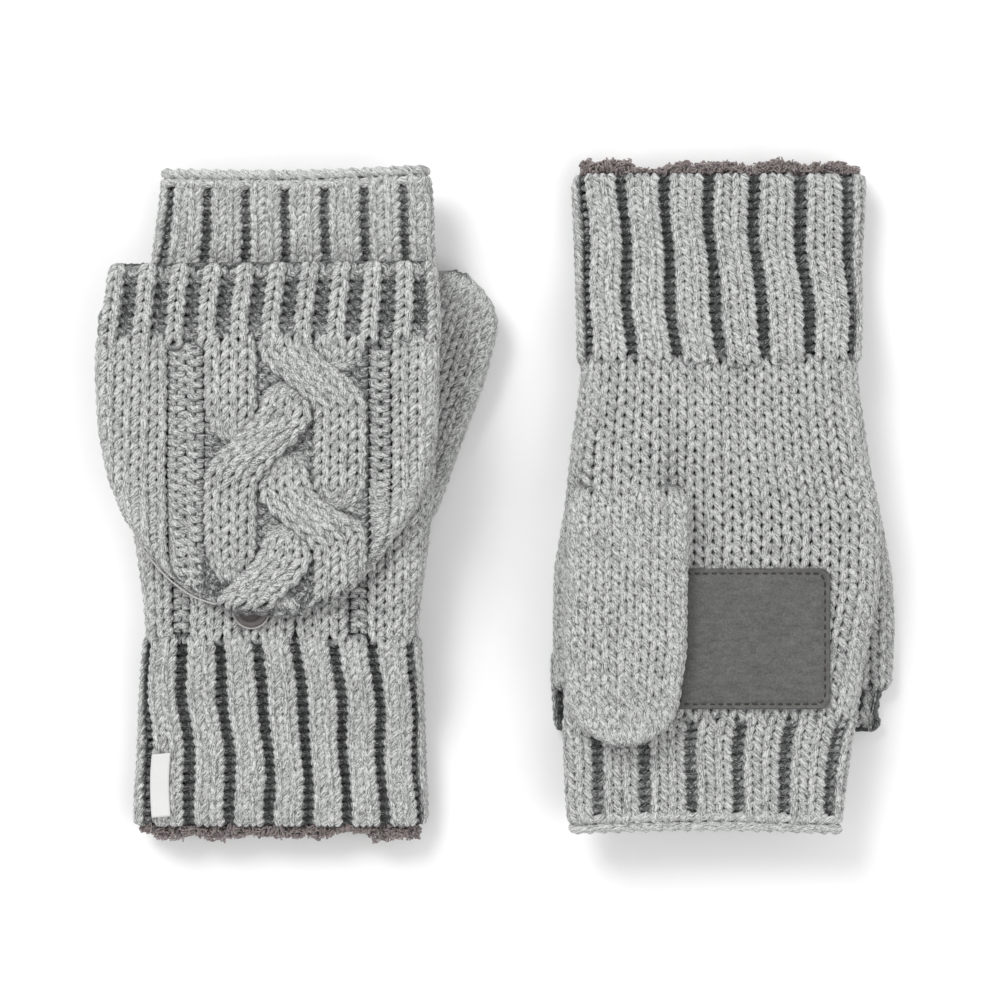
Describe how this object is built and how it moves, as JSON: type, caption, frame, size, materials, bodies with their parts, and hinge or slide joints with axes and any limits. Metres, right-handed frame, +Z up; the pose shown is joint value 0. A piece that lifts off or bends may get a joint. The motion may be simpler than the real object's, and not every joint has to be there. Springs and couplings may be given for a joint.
{
  "type": "convertible flip-top mittens",
  "caption": "Pair of knitted mittens with ribbed cuffs, cabled backs, plush lining, open finger bands, buttoned flip-top hoods and leather palm patches.",
  "frame": {"origin": "centre of the pair's bounding box, on the table it lies on", "axes": "+X across the pair from the left mitten to the right, +Y from the left cuff to the left fingertips, +Z up"},
  "size_m": [0.2662, 0.222, 0.0401],
  "materials": {
    "yarn": "chunky heather-grey knit, matt and slightly fuzzy",
    "plush": "taupe curly plush pile",
    "leather": "fine-grained grey leather, satin",
    "stitch_thread": "dark brown sewing thread",
    "button": "matt dark taupe",
    "button_thread": "pale grey sewing thread",
    "elastic": "pale elastic cord",
    "label": "white woven tape, blank"
  },
  "bodies": {
    "left_mitten": {"left_back_panel": "yarn", "left_palm_panel": "yarn", "left_cuff": "yarn", "left_lining": "plush", "left_finger_band": "yarn", "left_cast_off": "yarn", "left_palm_patch": "leather", "left_patch_stitches": "stitch_thread", "left_button_thread": "button_thread", "left_label": "label"},
    "left_thumb": {"left_thumb": "yarn"},
    "left_hood": {"left_hood_back": "yarn", "left_hood_tip": "yarn"},
    "left_hood_mouth": {"left_hood_front": "yarn", "left_mouth_rib": "yarn"},
    "left_loop": {"left_loop": "elastic"},
    "left_button": {"left_button": "button"},
    "right_mitten": {"right_back_panel": "yarn", "right_palm_panel": "yarn", "right_cuff": "yarn", "right_lining": "plush", "right_finger_band": "yarn", "right_cast_off": "yarn", "right_palm_patch": "leather", "right_patch_stitches": "stitch_thread", "right_button_thread": "button_thread", "right_label": "label"},
    "right_thumb": {"right_thumb": "yarn"},
    "right_hood": {"right_hood_back": "yarn", "right_hood_tip": "yarn"},
    "right_hood_mouth": {"right_hood_front": "yarn", "right_mouth_rib": "yarn"},
    "right_loop": {"right_loop": "elastic"},
    "right_button": {"right_button": "button"}
  },
  "joints": [
    {"name": "right_mitten_apart", "type": "slide", "parent": "left_mitten", "child": "right_mitten", "axis": [1, 0, 0], "range_m": [0, 0.12]},
    {"name": "left_hood_turn", "type": "hinge", "parent": "left_mitten", "child": "left_hood", "pos_m": [-0.07444, 0.062, 0.02319], "axis": [-0.9925, 0, -0.1219], "range_deg": [0, 180], "deforming": ["left_hood_front", "left_mouth_rib", "left_loop"]},
    {"name": "left_hood_mouth_open", "type": "hinge", "parent": "left_hood", "child": "left_hood_mouth", "pos_m": [-0.07507, -0.024, 0.0283], "axis": [0.9925, 0, 0.1219], "range_deg": [0, 8.5]},
    {"name": "left_thumb_splay", "type": "hinge", "parent": "left_mitten", "child": "left_thumb", "pos_m": [-0.04063, -0.0005, 0.00624], "axis": [0.1219, 0, -0.9925], "range_deg": [-15, 30]},
    {"name": "left_loop_swing", "type": "hinge", "parent": "left_hood", "child": "left_loop", "pos_m": [-0.0817, -0.0298, 0.02406], "axis": [-0.9925, 0, -0.1219], "range_deg": [0, 70], "stiffness_Nm_per_rad": 0.0004},
    {"name": "left_button_swivel", "type": "hinge", "parent": "left_mitten", "child": "left_button", "pos_m": [-0.08158, -0.0363, 0.02307], "axis": [-0.1219, 0, 0.9925], "range_deg": [-45, 45], "stiffness_Nm_per_rad": 0.0002},
    {"name": "right_hood_turn", "type": "hinge", "parent": "right_mitten", "child": "right_hood", "pos_m": [0.0735, -0.062, 0.01015], "axis": [-1, 0, 0], "range_deg": [0, 180], "deforming": ["right_hood_front", "right_mouth_rib", "right_loop"]},
    {"name": "right_hood_mouth_open", "type": "hinge", "parent": "right_hood", "child": "right_hood_mouth", "pos_m": [0.0735, 0.024, 0.005], "axis": [1, 0, 0], "range_deg": [0, 14]},
    {"name": "right_thumb_splay", "type": "hinge", "parent": "right_mitten", "child": "right_thumb", "pos_m": [0.042, 0.0005, 0.0311], "axis": [0, 0, -1], "range_deg": [0, 50]},
    {"name": "right_loop_swing", "type": "hinge", "parent": "right_hood", "child": "right_loop", "pos_m": [0.0806, 0.0298, 0.0084], "axis": [-1, 0, 0], "range_deg": [0, 70], "stiffness_Nm_per_rad": 0.0004},
    {"name": "right_button_swivel", "type": "hinge", "parent": "right_mitten", "child": "right_button", "pos_m": [0.0806, 0.0363, 0.0094], "axis": [0, 0, 1], "range_deg": [-45, 45], "stiffness_Nm_per_rad": 0.0002}
  ],
  "couplings": [
    {"joint": "left_hood_mouth_open", "follows": "left_hood_turn", "ratio": 0.044444},
    {"joint": "right_hood_mouth_open", "follows": "right_hood_turn", "ratio": 0.075}
  ]
}
